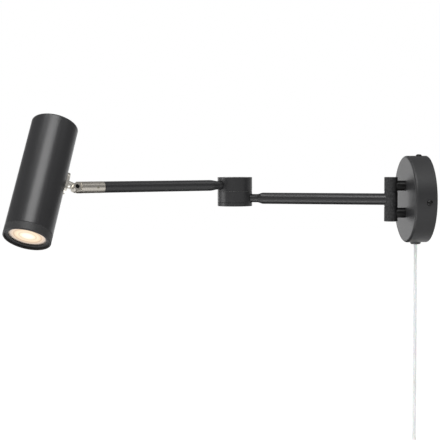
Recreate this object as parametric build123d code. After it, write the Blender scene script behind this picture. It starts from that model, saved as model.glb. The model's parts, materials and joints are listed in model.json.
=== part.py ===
from build123d import *
import os

# Plug-in swing-arm wall lamp with a tube head. Millimetres, +Z up, +Y into the wall.
# The origin is the middle of the canopy's back, on the wall plane.

# Pose in which the lamp stands, degrees
WALL_SWING = -23.2
ELBOW_BEND = 50.4
HEAD_ROLL = -21.0
HEAD_TILT = -22.8

# Fits
PRESS_GAP = 0.02
RUNNING_GAP = 0.05
CLEAR_GAP = 0.15

# Canopy on the wall
CANOPY_RADIUS = 57.5
CANOPY_DEPTH = 28.0
CANOPY_WALL = 1.5
CANOPY_EDGE = 3.0

# Wall plate inside the canopy
PLATE_THICK = 2.0
PLATE_GAP = 0.4
TAB_WIDTH = 14.0
TAB_THICK = 2.5
TAB_DEPTH = 18.0
WALL_HOLE_RADIUS = 2.5
WALL_HOLE_SPACING = 60.0

# Screws that hold the canopy to the plate's tabs
SIDE_SCREW_RADIUS = 1.7
SIDE_SCREW_LENGTH = 5.0
SIDE_HEAD_RADIUS = 3.3
SIDE_HEAD_HEIGHT = 2.0
SIDE_SCREW_SETBACK = 10.0
SIDE_SCREW_TURN = -3.3
SIDE_SCREW_ANGLES = (SIDE_SCREW_TURN, 90 + SIDE_SCREW_TURN, 180 + SIDE_SCREW_TURN)

# Hinge at the wall
HINGE_STANDOFF = 18.5
KNUCKLE_RADIUS = 8.9
KNUCKLE_HEIGHT = 19.25
KNUCKLE_CHAMFER = 0.4
HINGE_PIN_RADIUS = 4.0
HINGE_WASHER_THICK = 0.5
HINGE_WASHER_INSET = 0.5
PEG_RADIUS = 6.7
PEG_HEIGHT = 18.0
PEG_SCREW_RADIUS = 2.4
PEG_SCREW_REACH = 10.0
PEG_HEAD_RADIUS = 4.4
PEG_HEAD_HEIGHT = 2.8

# Inner arm
INNER_REACH = 216.5
INNER_RADIUS = 7.7
INNER_NECK_LENGTH = 9.6
INNER_FLARE_LENGTH = 9.2
ARM_WALL = 1.5
SPIGOT_LENGTH = 14.0
NECK_RADIUS = 5.7
NECK_STUD_RADIUS = 4.0

# Elbow, two stacked drums
DRUM_RADIUS = 24.0
DRUM_WALL = 5.0
DRUM_FLOOR = 4.0
DRUM_CHAMFER = 0.4
DRUM_BOTTOM = -11.0
DRUM_SEAM = 9.7
DRUM_TOP = 28.9
LOWER_CAP_HEIGHT = 5.0
CAP_SPIGOT = 2.5
UPPER_CAP_THICK = 3.0
UPPER_CAP_INSET = 3.0
SPOT_FACE_RADIUS = 6.6
SPOT_FACE_DEPTH = 1.6
SEAM_WASHER_THICK = 0.4
SEAM_WASHER_INSET = 0.6
PIVOT_RADIUS = 6.0
PIVOT_HEAD_RADIUS = 9.5
PIVOT_HEAD_THICK = 2.0
PIVOT_BORE_RADIUS = 3.5
PIVOT_WASHER_THICK = 1.0
PIVOT_NUT_HEIGHT = 4.5
PIVOT_NUT_FLATS = 18.0

# Outer arm
OUTER_REACH = 241.3
OUTER_RADIUS = 7.35
OUTER_HEIGHT = 18.0
OUTER_NECK_LENGTH = 4.1
OUTER_FLARE_LENGTH = 15.0

# Swivel sleeve with its fork
SLEEVE_RADIUS = 7.5
SLEEVE_REACH = 38.6
SLEEVE_CHAMFER = 0.6
SLEEVE_GAP = 0.3
SWIVEL_PIN_RADIUS = 4.5
SWIVEL_PIN_LENGTH = 22.0
SET_SCREW_SETBACK = 11.0
SET_SCREW_TURN = 21.0
SET_SCREW_RADIUS = 1.6
SET_GROOVE_DEPTH = 1.0
SET_GROOVE_WIDTH = 4.0
EAR_RADIUS = 5.4
EAR_OUTER = 5.2
EAR_RECESS = 1.6
FORK_SLOT = 3.8
FORK_DEPTH = 8.0
TILT_SCREW_RADIUS = 2.0
TILT_HEAD_RADIUS = 2.8
TILT_HEAD_HEIGHT = 1.2
TILT_SOCKET_FLATS = 2.6
TILT_SOCKET_DEPTH = 0.8
TILT_NUT_FLATS = 8.0
TILT_NUT_HEIGHT = 2.6

# Tongue between the fork and the head
TONGUE_THICK = 3.6
TONGUE_RADIUS = 5.2
TONGUE_HALF_HEIGHT = 4.4
TONGUE_NECK_RADIUS = 4.6
TONGUE_NECK_START = 9.0
SADDLE_LENGTH = 30.0
SADDLE_WIDTH = 17.0
SADDLE_THICK = 2.6
TONGUE_STUD_RADIUS = 4.0
TONGUE_STUD_LENGTH = 6.5
TONGUE_NUT_FLATS = 13.0
TONGUE_NUT_HEIGHT = 3.0

# Head
HEAD_RADIUS = 30.0
HEAD_WALL = 1.5
HEAD_OFFSET = 45.9
HEAD_BELOW = 91.1
HEAD_ABOVE = 72.5
HEAD_EDGE = 2.0
RING_HEIGHT = 10.5
RING_SPIGOT = 6.0
RING_SPIGOT_WALL = 1.6
RING_WALL = 1.8
RING_EDGE = 1.2
RING_RECESS = 3.1
RING_LIP = 1.6
RING_GRIP = 1.6
SEAM_CHAMFER = 0.4

# Lamp in the head
LAMP_MARGIN = 5.0
LAMP_LIP_GAP = 0.3
LAMP_LENGTH = 46.0
LAMP_RIM_HEIGHT = 4.0
LAMP_BASE_RADIUS = 13.0
LAMP_BASE_LENGTH = 12.0
LENS_RIM = 3.2
LENS_THICK = 2.0
LENS_RING_COUNT = 4
LENS_RING_DEPTH = 0.5
LENS_RING_WIDTH = 0.7
LAMP_PIN_SPACING = 10.0
LAMP_PIN_RADIUS = 1.6
LAMP_PIN_HEAD_RADIUS = 2.5
LAMP_PIN_LENGTH = 7.0
LAMP_PIN_HEAD_LENGTH = 2.5
HOLDER_RADIUS = 14.0
HOLDER_HEIGHT = 20.0
HOLDER_SLOT_RADIUS = 2.7
HOLDER_SLOT_DEPTH = 8.0
BRACKET_THICK = 1.5
BRACKET_WIDTH = 14.0
BRACKET_RISE = 9.0
HOLDER_SCREW_SPACING = 16.0
HOLDER_SCREW_RADIUS = 1.4
HOLDER_SCREW_LENGTH = 6.0
HOLDER_HEAD_RADIUS = 2.7
HOLDER_HEAD_HEIGHT = 1.8

# Mains cord, gland and terminal block
CORD_RADIUS = 2.25
CORD_SETBACK = 12.8
GLAND_RADIUS = 7.0
GLAND_PROUD = 2.6
GLAND_EDGE = 2.2
GLAND_SHANK_RADIUS = 4.9
GLAND_SHANK_TOP = 8.0
GLAND_NUT_FLATS = 14.0
GLAND_NUT_HEIGHT = 4.0
BLOCK_WIDTH = 26.0
BLOCK_HEIGHT = 14.0
BLOCK_DEPTH = 17.0
BLOCK_BOTTOM = -32.0
BLOCK_SCREW_RADIUS = 2.0
BLOCK_SCREW_DEPTH = 5.0
BLOCK_SCREW_SINK = 1.0
BLOCK_SCREW_SPACING = 12.0

# Spare cord, coiled and tied below the lamp
COIL_TOP = -340.0
COIL_RADIUS = 31.0
COIL_PITCH = 5.8
COIL_LAYER = 5.8
COIL_HALF_TURNS_PER_LAYER = 4
COIL_LAYERS = 4
COIL_LAST_HALF_TURNS = 3
GAP_SAMPLES = 900
GAP_STRIDE = 3
GAP_NEIGHBOURS = 4
TIE_WIDTH = 8.0
TIE_THICK = 1.2
TIE_GAP = 0.3
TAIL_LENGTH = 30.0

# Plug
PLUG_WIDTH = 26.0
PLUG_THICK = 14.0
PLUG_LENGTH = 34.0
PLUG_SHOULDER = 11.0
PLUG_EDGE = 3.0
PLUG_BOOT_RADIUS = 4.2
PLUG_BOOT_LENGTH = 14.0
PLUG_PIN_RADIUS = 2.0
PLUG_PIN_LENGTH = 19.0
PLUG_PIN_SPACING = 18.6
PLUG_PIN_ROOT = 3.0
PLUG_PIN_ROOT_RADIUS = 1.6

# Worked-out places
HINGE_Y = -(CANOPY_DEPTH + HINGE_STANDOFF)
CANOPY_INSIDE = CANOPY_RADIUS - CANOPY_WALL
PLATE_RADIUS = CANOPY_INSIDE - PLATE_GAP
KNUCKLE_BOTTOM = KNUCKLE_HEIGHT / 2 + HINGE_WASHER_THICK
KNUCKLE_TOP = KNUCKLE_BOTTOM + KNUCKLE_HEIGHT
HINGE_WASHER_RADIUS = KNUCKLE_RADIUS - HINGE_WASHER_INSET
SPOT_FACE = DRUM_RADIUS - SPOT_FACE_DEPTH
INNER_FLARE_START = SPOT_FACE + INNER_NECK_LENGTH
INNER_TUBE_START = INNER_FLARE_START + INNER_FLARE_LENGTH
OUTER_FLARE_START = SPOT_FACE + OUTER_NECK_LENGTH
OUTER_TUBE_START = OUTER_FLARE_START + OUTER_FLARE_LENGTH
UPPER_CAP_RADIUS = DRUM_RADIUS - UPPER_CAP_INSET
SEAM_WASHER_RADIUS = DRUM_RADIUS - SEAM_WASHER_INSET
LOWER_DRUM_TOP = DRUM_SEAM - SEAM_WASHER_THICK / 2
UPPER_DRUM_BOTTOM = DRUM_SEAM + SEAM_WASHER_THICK / 2 + RUNNING_GAP
OUTER_TUBE_END = OUTER_REACH - SLEEVE_REACH - SLEEVE_GAP
SADDLE_FACE = HEAD_OFFSET - HEAD_RADIUS - SADDLE_THICK
LAMP_RADIUS = HEAD_RADIUS - LAMP_MARGIN
LENS_RADIUS = LAMP_RADIUS - LENS_RIM
LIP_FRONT = -HEAD_BELOW + RING_RECESS
LIP_BACK = LIP_FRONT + RING_LIP
LAMP_FACE = LIP_BACK + LAMP_LIP_GAP
LAMP_BACK = LAMP_FACE + LAMP_LENGTH
HOLDER_TOP = LAMP_BACK + HOLDER_HEIGHT
CANOPY_LOW = -CANOPY_RADIUS
COIL_CENTRE_Z = COIL_TOP - COIL_RADIUS - CORD_RADIUS
CORD_Y = -CORD_SETBACK

WALL_FRAME = Location((0, 0, 0))
INNER_FRAME = Location((0, HINGE_Y, 0), (0, 0, WALL_SWING))
OUTER_FRAME = INNER_FRAME * Location((0, -INNER_REACH, 0), (0, 0, ELBOW_BEND))
SWIVEL_FRAME = OUTER_FRAME * Location((0, -OUTER_REACH, OUTER_HEIGHT), (0, HEAD_ROLL, 0))
HEAD_FRAME = SWIVEL_FRAME * Location((0, 0, 0), (HEAD_TILT, 0, 0))


def rod(radius, start, end):
    """Round bar from one point to another."""
    line = Vector(end) - Vector(start)
    return Solid.make_cylinder(radius, line.length, Plane(origin=start, z_dir=line))


def upright(radius, low, high, x=0.0, y=0.0):
    """Round bar along Z."""
    return rod(radius, (x, y, low), (x, y, high))


def along_y(radius, near, far, x=0.0, z=0.0):
    """Round bar along Y."""
    return rod(radius, (x, near, z), (x, far, z))


def hexagon(flats, low, high, plane):
    """Hexagonal bar between two heights over a plane."""
    outline = plane.offset(low) * RegularPolygon(flats / 2, 6, major_radius=False)
    return extrude(outline, high - low, dir=plane.z_dir)


def block(x, y, z):
    """Box between pairs of limits."""
    size = (x[1] - x[0], y[1] - y[0], z[1] - z[0])
    middle = ((x[0] + x[1]) / 2, (y[0] + y[1]) / 2, (z[0] + z[1]) / 2)
    return Pos(*middle) * Box(*size)


def turned(points):
    """Solid of revolution about Z from (radius, height) points."""
    outline = Polyline([(r, 0, h) for r, h in points], close=True)
    return revolve(make_face(outline), Axis.Z)


def round_spots(angle, radius):
    """Point on the canopy's side at an angle from +X, in its mid screw plane."""
    direction = Vector(1, 0, 0).rotate(Axis.Y, -angle)
    return direction * radius + Vector(0, -SIDE_SCREW_SETBACK, 0)


# Wall base

def canopy():
    front = -CANOPY_DEPTH
    outside = along_y(CANOPY_RADIUS, 0, front)
    outside = fillet(outside.edges().sort_by(Axis.Y)[0], CANOPY_EDGE)
    inside = along_y(CANOPY_INSIDE, 0, front + CANOPY_WALL)
    inside = fillet(inside.edges().sort_by(Axis.Y)[0], max(CANOPY_EDGE - CANOPY_WALL, CANOPY_WALL))
    shell = outside - inside
    for height in (PEG_HEIGHT, -PEG_HEIGHT):
        shell -= along_y(PEG_SCREW_RADIUS + CLEAR_GAP, front, front + CANOPY_WALL, z=height)
    for angle in SIDE_SCREW_ANGLES:
        hole_in = round_spots(angle, CANOPY_INSIDE - CANOPY_WALL)
        hole_out = round_spots(angle, CANOPY_RADIUS + CANOPY_WALL)
        shell -= rod(SIDE_SCREW_RADIUS + CLEAR_GAP, hole_in, hole_out)
    low = CANOPY_LOW - CANOPY_WALL
    return shell - upright(GLAND_SHANK_RADIUS + CLEAR_GAP, low, CANOPY_LOW + GLAND_SHANK_TOP, y=CORD_Y)


def wall_plate():
    plate = along_y(PLATE_RADIUS, 0, -PLATE_THICK)
    rim = along_y(PLATE_RADIUS, -PLATE_THICK, -TAB_DEPTH)
    rim -= along_y(PLATE_RADIUS - TAB_THICK, -PLATE_THICK, -TAB_DEPTH)
    half = TAB_WIDTH / 2
    for angle in SIDE_SCREW_ANGLES:
        strip = block((PLATE_RADIUS / 2, CANOPY_RADIUS), (-TAB_DEPTH, -PLATE_THICK), (-half, half))
        plate += rim & strip.rotate(Axis.Y, -angle)
    for angle in SIDE_SCREW_ANGLES:
        hole_in = round_spots(angle, PLATE_RADIUS / 2)
        plate -= rod(SIDE_SCREW_RADIUS + PRESS_GAP, hole_in, round_spots(angle, CANOPY_RADIUS))
    for side in (-WALL_HOLE_SPACING / 2, WALL_HOLE_SPACING / 2):
        plate -= along_y(WALL_HOLE_RADIUS, 0, -PLATE_THICK, x=side)
    return plate


def canopy_screws():
    screws = []
    for angle in SIDE_SCREW_ANGLES:
        seat = round_spots(angle, CANOPY_RADIUS)
        top = round_spots(angle, CANOPY_RADIUS + SIDE_HEAD_HEIGHT)
        tip = round_spots(angle, CANOPY_RADIUS - SIDE_SCREW_LENGTH)
        screws.append(rod(SIDE_HEAD_RADIUS, seat, top) + rod(SIDE_SCREW_RADIUS, tip, seat))
    return screws


def knuckle(low, high, bore):
    ring = upright(KNUCKLE_RADIUS, low, high)
    ring = chamfer(ring.edges().filter_by(GeomType.CIRCLE), KNUCKLE_CHAMFER)
    return ring - upright(bore, low, high)


def fixed_knuckle(side):
    """Knuckle and its peg to the canopy; side is 1 for the upper and -1 for the lower."""
    low, high = sorted((side * KNUCKLE_BOTTOM, side * KNUCKLE_TOP))
    height = side * PEG_HEIGHT
    peg = along_y(PEG_RADIUS, -CANOPY_DEPTH, HINGE_Y, z=height)
    peg -= upright(KNUCKLE_RADIUS, low, high, y=HINGE_Y)
    piece = peg + Pos(0, HINGE_Y, 0) * knuckle(low, high, HINGE_PIN_RADIUS + PRESS_GAP)
    screw_tip = -CANOPY_DEPTH - PEG_SCREW_REACH
    return piece - along_y(PEG_SCREW_RADIUS + PRESS_GAP, -CANOPY_DEPTH, screw_tip, z=height)


def standoff_screws():
    screws = []
    seat = -CANOPY_DEPTH + CANOPY_WALL
    for height in (PEG_HEIGHT, -PEG_HEIGHT):
        head = along_y(PEG_HEAD_RADIUS, seat, seat + PEG_HEAD_HEIGHT, z=height)
        shank = along_y(PEG_SCREW_RADIUS, seat, -CANOPY_DEPTH - PEG_SCREW_REACH, z=height)
        screws.append(head + shank)
    return screws


def hinge_pin():
    pin = upright(HINGE_PIN_RADIUS, -KNUCKLE_TOP, KNUCKLE_TOP)
    pin = chamfer(pin.edges().filter_by(GeomType.CIRCLE), KNUCKLE_CHAMFER)
    return Pos(0, HINGE_Y, 0) * pin


def hinge_washers():
    washers = []
    for low in (KNUCKLE_BOTTOM - HINGE_WASHER_THICK, -KNUCKLE_BOTTOM):
        washer = upright(HINGE_WASHER_RADIUS, low, low + HINGE_WASHER_THICK)
        washer -= upright(HINGE_PIN_RADIUS + RUNNING_GAP, low, low + HINGE_WASHER_THICK)
        washers.append(Pos(0, HINGE_Y, 0) * washer)
    return washers


def cord_gland():
    low = CANOPY_LOW - GLAND_PROUD
    dome = upright(GLAND_RADIUS, low, CANOPY_LOW + CANOPY_WALL, y=CORD_Y)
    dome = fillet(dome.edges().sort_by(Axis.Z)[0], GLAND_EDGE)
    dome -= along_y(CANOPY_RADIUS, 0, -CANOPY_DEPTH)
    dome += upright(GLAND_SHANK_RADIUS, low + GLAND_EDGE, CANOPY_LOW + GLAND_SHANK_TOP, y=CORD_Y)
    return dome - upright(CORD_RADIUS + RUNNING_GAP, low, CANOPY_LOW + GLAND_SHANK_TOP, y=CORD_Y)


def gland_nut():
    plane = Plane(origin=(0, CORD_Y, CANOPY_LOW), z_dir=(0, 0, 1))
    low = CANOPY_WALL + CLEAR_GAP
    nut = hexagon(GLAND_NUT_FLATS, low, low + GLAND_NUT_HEIGHT, plane)
    nut &= along_y(CANOPY_INSIDE, 0, -CANOPY_DEPTH)
    return nut - upright(GLAND_SHANK_RADIUS + PRESS_GAP, CANOPY_LOW, CANOPY_LOW + GLAND_SHANK_TOP, y=CORD_Y)


def terminal_block():
    top = BLOCK_BOTTOM + BLOCK_HEIGHT
    depth = (-PLATE_THICK - BLOCK_DEPTH, -PLATE_THICK)
    body = block((-BLOCK_WIDTH / 2, BLOCK_WIDTH / 2), depth, (BLOCK_BOTTOM, top))
    for side in (-BLOCK_SCREW_SPACING / 2, BLOCK_SCREW_SPACING / 2):
        well = (depth[0], depth[0] + BLOCK_SCREW_DEPTH)
        middle = BLOCK_BOTTOM + BLOCK_HEIGHT / 2
        body -= along_y(BLOCK_SCREW_RADIUS + PRESS_GAP, well[0], well[1], x=side, z=middle)
    return body


def terminal_screws():
    screws = []
    face = -PLATE_THICK - BLOCK_DEPTH
    middle = BLOCK_BOTTOM + BLOCK_HEIGHT / 2
    for side in (-BLOCK_SCREW_SPACING / 2, BLOCK_SCREW_SPACING / 2):
        top = face + BLOCK_SCREW_SINK
        screws.append(along_y(BLOCK_SCREW_RADIUS, top, face + BLOCK_SCREW_DEPTH, x=side, z=middle))
    return screws


# Inner arm, in its own straight frame: the hinge axis at the origin, the elbow at -Y

def middle_knuckle():
    half = KNUCKLE_HEIGHT / 2 - RUNNING_GAP
    piece = knuckle(-half, half, HINGE_PIN_RADIUS + RUNNING_GAP)
    spigot = along_y(INNER_RADIUS - ARM_WALL - PRESS_GAP, 0, -KNUCKLE_RADIUS - SPIGOT_LENGTH)
    return piece + (spigot - upright(HINGE_PIN_RADIUS + RUNNING_GAP, -half, half))


def inner_arm_tube():
    far = -(INNER_REACH - INNER_TUBE_START)
    tube = along_y(INNER_RADIUS, 0, far) - along_y(INNER_RADIUS - ARM_WALL, 0, far)
    return tube - upright(KNUCKLE_RADIUS + PRESS_GAP, -KNUCKLE_HEIGHT, KNUCKLE_HEIGHT)


def arm_neck(tube_radius, flare_start, tube_start):
    """Bottle-necked arm end on +Z, its neck's shoulder on the drum's spot-face."""
    inside = tube_radius - ARM_WALL - PRESS_GAP
    stud_end = DRUM_RADIUS - DRUM_WALL
    along = (0, 0, 1)
    flare = Spline((NECK_RADIUS, 0, flare_start), (tube_radius, 0, tube_start), tangents=(along, along))
    rest = Polyline(
        (tube_radius, 0, tube_start),
        (inside, 0, tube_start),
        (inside, 0, tube_start + SPIGOT_LENGTH),
        (0, 0, tube_start + SPIGOT_LENGTH),
        (0, 0, stud_end),
        (NECK_STUD_RADIUS, 0, stud_end),
        (NECK_STUD_RADIUS, 0, SPOT_FACE),
        (NECK_RADIUS, 0, SPOT_FACE),
        (NECK_RADIUS, 0, flare_start),
    )
    return revolve(make_face(flare.edges() + rest.edges()), Axis.Z)


def inner_arm_neck():
    neck = arm_neck(INNER_RADIUS, INNER_FLARE_START, INNER_TUBE_START)
    return Pos(0, -INNER_REACH, 0) * neck.rotate(Axis.X, -90)


def drum_shell(low, high, side, height):
    """Drum ring with a spot-faced hole for a neck on the +Y or -Y side."""
    shell = upright(DRUM_RADIUS, low, high)
    shell = chamfer(shell.edges().filter_by(GeomType.CIRCLE), DRUM_CHAMFER)
    shell -= along_y(SPOT_FACE_RADIUS, side * SPOT_FACE, side * 2 * DRUM_RADIUS, z=height)
    return shell - along_y(NECK_STUD_RADIUS + PRESS_GAP, 0, side * 2 * DRUM_RADIUS, z=height)


def lower_drum():
    low = DRUM_BOTTOM + LOWER_CAP_HEIGHT
    shell = drum_shell(low, LOWER_DRUM_TOP, 1, 0)
    shell -= upright(DRUM_RADIUS - DRUM_WALL, low, LOWER_DRUM_TOP - DRUM_FLOOR)
    shell -= upright(PIVOT_RADIUS + PRESS_GAP, low, LOWER_DRUM_TOP)
    return Pos(0, -INNER_REACH, 0) * shell


def lower_drum_cap():
    top = DRUM_BOTTOM + LOWER_CAP_HEIGHT
    cap = upright(DRUM_RADIUS, DRUM_BOTTOM, top)
    cap = chamfer(cap.edges().filter_by(GeomType.CIRCLE), DRUM_CHAMFER)
    cap += upright(DRUM_RADIUS - DRUM_WALL - PRESS_GAP, top - CAP_SPIGOT / 2, top + CAP_SPIGOT / 2)
    cap -= along_y(NECK_STUD_RADIUS + CLEAR_GAP, 0, DRUM_RADIUS)
    return Pos(0, -INNER_REACH, 0) * cap


def elbow_pivot():
    under = LOWER_DRUM_TOP - DRUM_FLOOR
    nut_top = UPPER_DRUM_BOTTOM + DRUM_FLOOR + PIVOT_WASHER_THICK + PIVOT_NUT_HEIGHT
    pivot = upright(PIVOT_RADIUS, under, nut_top)
    pivot += upright(PIVOT_HEAD_RADIUS, under - PIVOT_HEAD_THICK, under)
    pivot -= upright(PIVOT_BORE_RADIUS, under - PIVOT_HEAD_THICK, nut_top)
    return Pos(0, -INNER_REACH, 0) * pivot


def seam_washer():
    low = LOWER_DRUM_TOP
    high = low + SEAM_WASHER_THICK
    washer = upright(SEAM_WASHER_RADIUS, low, high) - upright(PIVOT_RADIUS + PRESS_GAP, low, high)
    return Pos(0, -INNER_REACH, 0) * washer


def pivot_nut():
    low = UPPER_DRUM_BOTTOM + DRUM_FLOOR + PIVOT_WASHER_THICK
    nut = hexagon(PIVOT_NUT_FLATS, low, low + PIVOT_NUT_HEIGHT, Plane.XY)
    nut -= upright(PIVOT_RADIUS + PRESS_GAP, low, low + PIVOT_NUT_HEIGHT)
    return Pos(0, -INNER_REACH, 0) * nut


def pivot_washer():
    low = UPPER_DRUM_BOTTOM + DRUM_FLOOR + RUNNING_GAP
    high = low + PIVOT_WASHER_THICK - RUNNING_GAP
    washer = upright(PIVOT_HEAD_RADIUS, low, high) - upright(PIVOT_RADIUS + PRESS_GAP, low, high)
    return Pos(0, -INNER_REACH, 0) * washer


# Outer arm, in its own straight frame: the elbow axis at the origin, the head at -Y

def upper_drum():
    shell = drum_shell(UPPER_DRUM_BOTTOM, DRUM_TOP, -1, OUTER_HEIGHT)
    floor = UPPER_DRUM_BOTTOM + DRUM_FLOOR
    shell -= upright(DRUM_RADIUS - DRUM_WALL, floor, DRUM_TOP)
    shell -= upright(UPPER_CAP_RADIUS + PRESS_GAP, DRUM_TOP - UPPER_CAP_THICK, DRUM_TOP)
    return shell - upright(PIVOT_RADIUS + RUNNING_GAP, UPPER_DRUM_BOTTOM, floor)


def upper_drum_cap():
    return upright(UPPER_CAP_RADIUS, DRUM_TOP - UPPER_CAP_THICK, DRUM_TOP)


def outer_arm_neck():
    neck = arm_neck(OUTER_RADIUS, OUTER_FLARE_START, OUTER_TUBE_START)
    return Pos(0, 0, OUTER_HEIGHT) * neck.rotate(Axis.X, 90)


def outer_arm_tube():
    tube = along_y(OUTER_RADIUS, -OUTER_TUBE_START, -OUTER_TUBE_END, z=OUTER_HEIGHT)
    return tube - along_y(OUTER_RADIUS - ARM_WALL, -OUTER_TUBE_START, -OUTER_TUBE_END, z=OUTER_HEIGHT)


def swivel_spigot():
    """Plug in the arm's end with the grooved pin that the sleeve turns on."""
    inside = OUTER_RADIUS - ARM_WALL - PRESS_GAP
    groove = SWIVEL_PIN_RADIUS - SET_GROOVE_DEPTH
    middle = SLEEVE_GAP + SET_SCREW_SETBACK
    spigot = turned([
        (0, -SPIGOT_LENGTH),
        (inside, -SPIGOT_LENGTH),
        (inside, 0),
        (SWIVEL_PIN_RADIUS, 0),
        (SWIVEL_PIN_RADIUS, middle - SET_GROOVE_WIDTH / 2),
        (groove, middle - SET_GROOVE_WIDTH / 2),
        (groove, middle + SET_GROOVE_WIDTH / 2),
        (SWIVEL_PIN_RADIUS, middle + SET_GROOVE_WIDTH / 2),
        (SWIVEL_PIN_RADIUS, SWIVEL_PIN_LENGTH),
        (0, SWIVEL_PIN_LENGTH),
    ])
    return Pos(0, -OUTER_TUBE_END, OUTER_HEIGHT) * spigot.rotate(Axis.X, 90)


# Swivel, in its own frame: the tilt screw along X through the origin, the arm from +Y

def set_screw_point(distance):
    """Point on the set screw's line at a distance from the sleeve's axis."""
    direction = Vector(1, 0, 0).rotate(Axis.Y, SET_SCREW_TURN)
    return direction * distance + Vector(0, SLEEVE_REACH - SET_SCREW_SETBACK, 0)


def swivel_sleeve():
    """Sleeve round the arm's pin, ending in a fork for the tongue."""
    sleeve = along_y(SLEEVE_RADIUS, SLEEVE_REACH, 0)
    sleeve = chamfer(sleeve.edges().filter_by(GeomType.CIRCLE), SLEEVE_CHAMFER)
    sleeve += rod(EAR_RADIUS, (-EAR_OUTER, 0, 0), (EAR_OUTER, 0, 0))
    for side in (-1, 1):
        flat = sorted((side * EAR_OUTER, side * 2 * SLEEVE_RADIUS))
        sleeve -= block(flat, (-EAR_RADIUS, EAR_RADIUS), (-SLEEVE_RADIUS, SLEEVE_RADIUS))
    slot = (-FORK_SLOT / 2, FORK_SLOT / 2)
    sleeve -= block(slot, (-2 * EAR_RADIUS, FORK_DEPTH), (-2 * SLEEVE_RADIUS, 2 * SLEEVE_RADIUS))
    bore_end = SLEEVE_REACH - SWIVEL_PIN_LENGTH
    sleeve -= along_y(SWIVEL_PIN_RADIUS + RUNNING_GAP, SLEEVE_REACH, bore_end)
    sleeve -= rod(TILT_SCREW_RADIUS + PRESS_GAP, (-EAR_OUTER, 0, 0), (EAR_OUTER, 0, 0))
    sleeve -= rod(TILT_HEAD_RADIUS + CLEAR_GAP, (EAR_OUTER - EAR_RECESS, 0, 0), (2 * EAR_OUTER, 0, 0))
    return sleeve - rod(SET_SCREW_RADIUS + PRESS_GAP, set_screw_point(0), set_screw_point(SLEEVE_RADIUS))


def sleeve_set_screw():
    tip = SWIVEL_PIN_RADIUS - SET_GROOVE_DEPTH + CLEAR_GAP
    return rod(SET_SCREW_RADIUS, set_screw_point(tip), set_screw_point(SLEEVE_RADIUS - 2 * SLEEVE_CHAMFER))


def tilt_screw():
    """Socket screw across the fork, its head sunk in the ear."""
    tail = -EAR_OUTER - TILT_NUT_HEIGHT
    seat = EAR_OUTER - EAR_RECESS
    top = seat + TILT_HEAD_HEIGHT
    screw = rod(TILT_SCREW_RADIUS, (tail, 0, 0), (seat, 0, 0))
    screw += rod(TILT_HEAD_RADIUS, (seat, 0, 0), (top, 0, 0))
    plane = Plane(origin=(top, 0, 0), z_dir=(1, 0, 0))
    return screw - hexagon(TILT_SOCKET_FLATS, -TILT_SOCKET_DEPTH, 0, plane)


def tilt_nut():
    plane = Plane(origin=(-EAR_OUTER, 0, 0), z_dir=(-1, 0, 0))
    nut = hexagon(TILT_NUT_FLATS, 0, TILT_NUT_HEIGHT, plane)
    return nut - rod(TILT_SCREW_RADIUS + PRESS_GAP, (-2 * EAR_OUTER, 0, 0), (0, 0, 0))


# Head, in its own frame: the tilt screw along X through the origin, the tube upright at -Y

def head_bar(radius, low, high):
    return upright(radius, low, high, y=-HEAD_OFFSET)


def knuckle_tongue():
    half = TONGUE_THICK / 2
    tongue = rod(TONGUE_RADIUS, (-half, 0, 0), (half, 0, 0))
    blade = (-SADDLE_FACE, 0)
    tongue += block((-half, half), blade, (-TONGUE_HALF_HEIGHT, TONGUE_HALF_HEIGHT))
    wall = HEAD_OFFSET - HEAD_RADIUS
    base = along_y(TONGUE_NECK_RADIUS, -TONGUE_NECK_START, -wall)
    plane = Plane(origin=(0, -SADDLE_FACE, 0), x_dir=(0, 0, 1), z_dir=(0, -1, 0))
    base += extrude(plane * SlotOverall(SADDLE_LENGTH, SADDLE_WIDTH), 2 * SADDLE_THICK)
    base -= head_bar(HEAD_RADIUS + PRESS_GAP, -SADDLE_LENGTH, SADDLE_LENGTH)
    stud = along_y(TONGUE_STUD_RADIUS, -SADDLE_FACE, -wall - TONGUE_STUD_LENGTH)
    return tongue + base + stud - rod(TILT_SCREW_RADIUS + RUNNING_GAP, (-half, 0, 0), (half, 0, 0))


def bracket_face():
    """Distance from the tube's axis to the bracket's outer face."""
    inside = HEAD_RADIUS - HEAD_WALL - CLEAR_GAP
    return (inside**2 - (BRACKET_WIDTH / 2) ** 2) ** 0.5


def tongue_nut():
    face = HEAD_OFFSET - bracket_face() + BRACKET_THICK
    plane = Plane(origin=(0, -face, 0), z_dir=(0, -1, 0))
    nut = hexagon(TONGUE_NUT_FLATS, 0, TONGUE_NUT_HEIGHT, plane)
    return nut - along_y(TONGUE_STUD_RADIUS + PRESS_GAP, 0, -HEAD_OFFSET)


def head_tube():
    low = -HEAD_BELOW + RING_HEIGHT
    tube = head_bar(HEAD_RADIUS, low, HEAD_ABOVE)
    tube = fillet(tube.edges().sort_by(Axis.Z)[-1], HEAD_EDGE)
    tube = chamfer(tube.edges().sort_by(Axis.Z)[0], SEAM_CHAMFER)
    tube -= head_bar(HEAD_RADIUS - HEAD_WALL, low, HEAD_ABOVE - HEAD_EDGE)
    return tube - along_y(TONGUE_STUD_RADIUS + PRESS_GAP, 0, -HEAD_OFFSET)


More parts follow.
